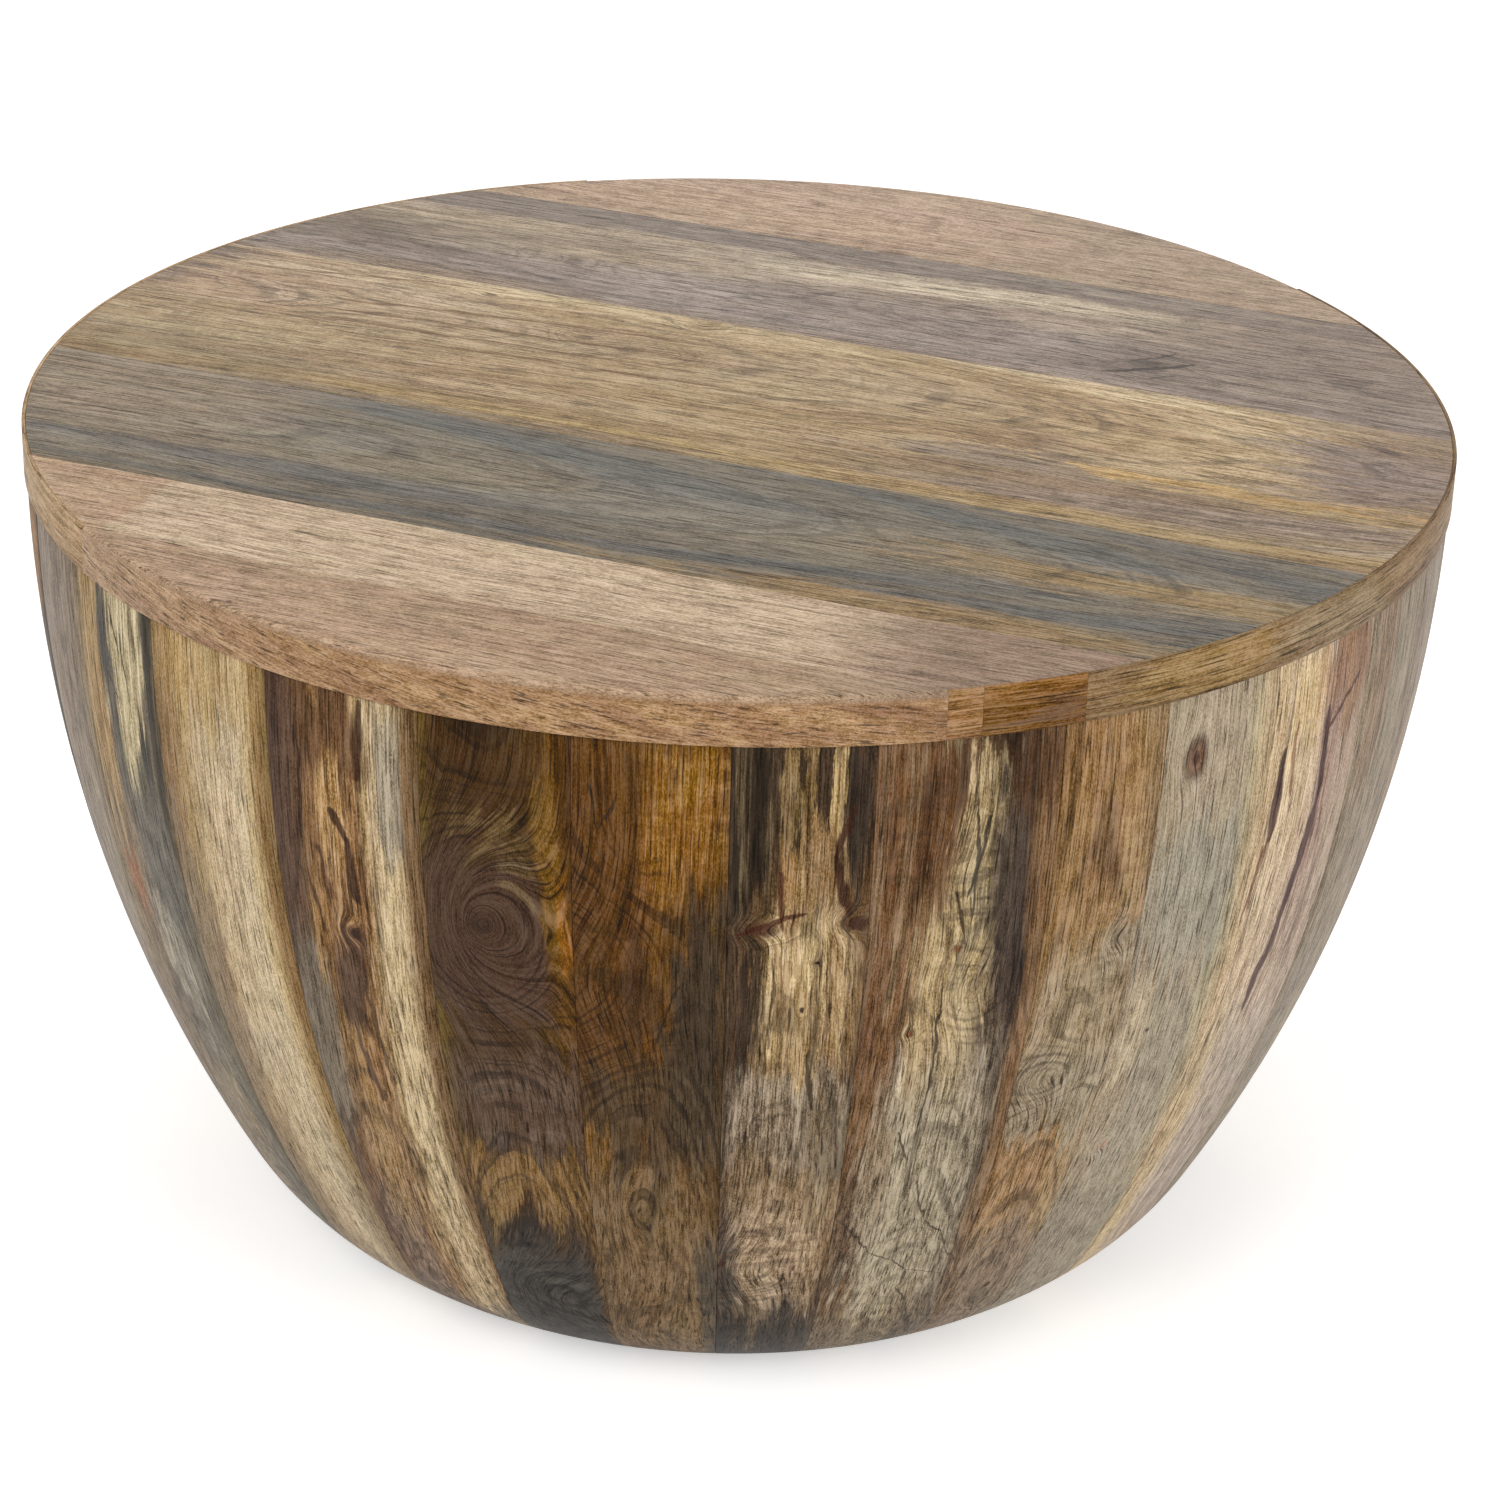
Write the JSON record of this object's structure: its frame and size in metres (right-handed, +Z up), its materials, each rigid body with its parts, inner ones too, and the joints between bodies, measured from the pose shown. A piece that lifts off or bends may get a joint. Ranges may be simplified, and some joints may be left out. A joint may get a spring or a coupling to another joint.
{
  "type": "round coffee table",
  "caption": "Low round coffee table: a bowl-shaped drum of bowed wooden staves with a flat top of edge-glued planks, for setting things on",
  "frame": {"origin": "on the floor at the drum's centre, under the middle of the top", "axes": "+Z up; -Y is the side the picture faces; the planks of the top run 21.5 degrees clockwise of +X"},
  "size_m": [0.762, 0.762, 0.457],
  "materials": {
    "wood_pale": "satin lacquer over figured hardwood",
    "wood_tan": "satin lacquer over figured hardwood",
    "wood_brown": "satin lacquer over figured hardwood",
    "wood_dark": "satin lacquer over figured hardwood",
    "wood_grey": "satin lacquer over figured hardwood",
    "plank_front": "satin lacquer over figured hardwood",
    "plank_grey": "satin lacquer over figured hardwood",
    "plank_gold": "satin lacquer over figured hardwood",
    "plank_brown": "satin lacquer over figured hardwood",
    "plank_back": "satin lacquer over figured hardwood",
    "lipping": "satin lacquer over figured hardwood",
    "softwood": "sawn softwood, unfinished",
    "plywood": "plywood, unfinished",
    "screw_steel": "zinc plated",
    "nylon": "moulded nylon"
  },
  "bodies": {
    "root": {"stave_01": "wood_pale", "stave_02": "wood_pale", "stave_03": "wood_brown", "stave_04": "wood_dark", "stave_05": "wood_tan", "stave_06": "wood_pale", "stave_07": "wood_brown", "stave_08": "wood_tan", "stave_09": "wood_grey", "stave_10": "wood_pale", "stave_11": "wood_grey", "stave_12": "wood_tan", "stave_13": "wood_brown", "stave_14": "wood_pale", "stave_15": "wood_tan", "stave_16": "wood_dark", "stave_17": "wood_pale", "stave_18": "wood_brown", "stave_19": "wood_tan", "stave_20": "wood_grey", "stave_21": "wood_pale", "stave_22": "wood_brown", "stave_23": "wood_tan", "stave_24": "wood_pale", "stave_25": "wood_dark", "stave_26": "wood_tan", "stave_27": "wood_grey", "stave_28": "wood_brown", "stave_29": "wood_pale", "stave_30": "wood_tan", "stave_31": "wood_grey", "plank_front": "plank_front", "plank_grey": "plank_grey", "plank_gold": "plank_gold", "plank_brown": "plank_brown", "plank_back": "plank_back", "lipping_right_filler": "lipping", "lipping_right_short": "lipping", "lipping_right_long": "lipping", "lipping_left": "lipping", "corner_block_1": "softwood", "corner_block_2": "softwood", "corner_block_3": "softwood", "corner_block_4": "softwood", "corner_block_5": "softwood", "corner_block_6": "softwood", "batten_left": "softwood", "batten_right": "softwood", "base_board": "plywood", "block_screws": "screw_steel", "batten_screws": "screw_steel", "base_screws": "screw_steel", "foot_glides": "nylon"}
  },
  "joints": []
}
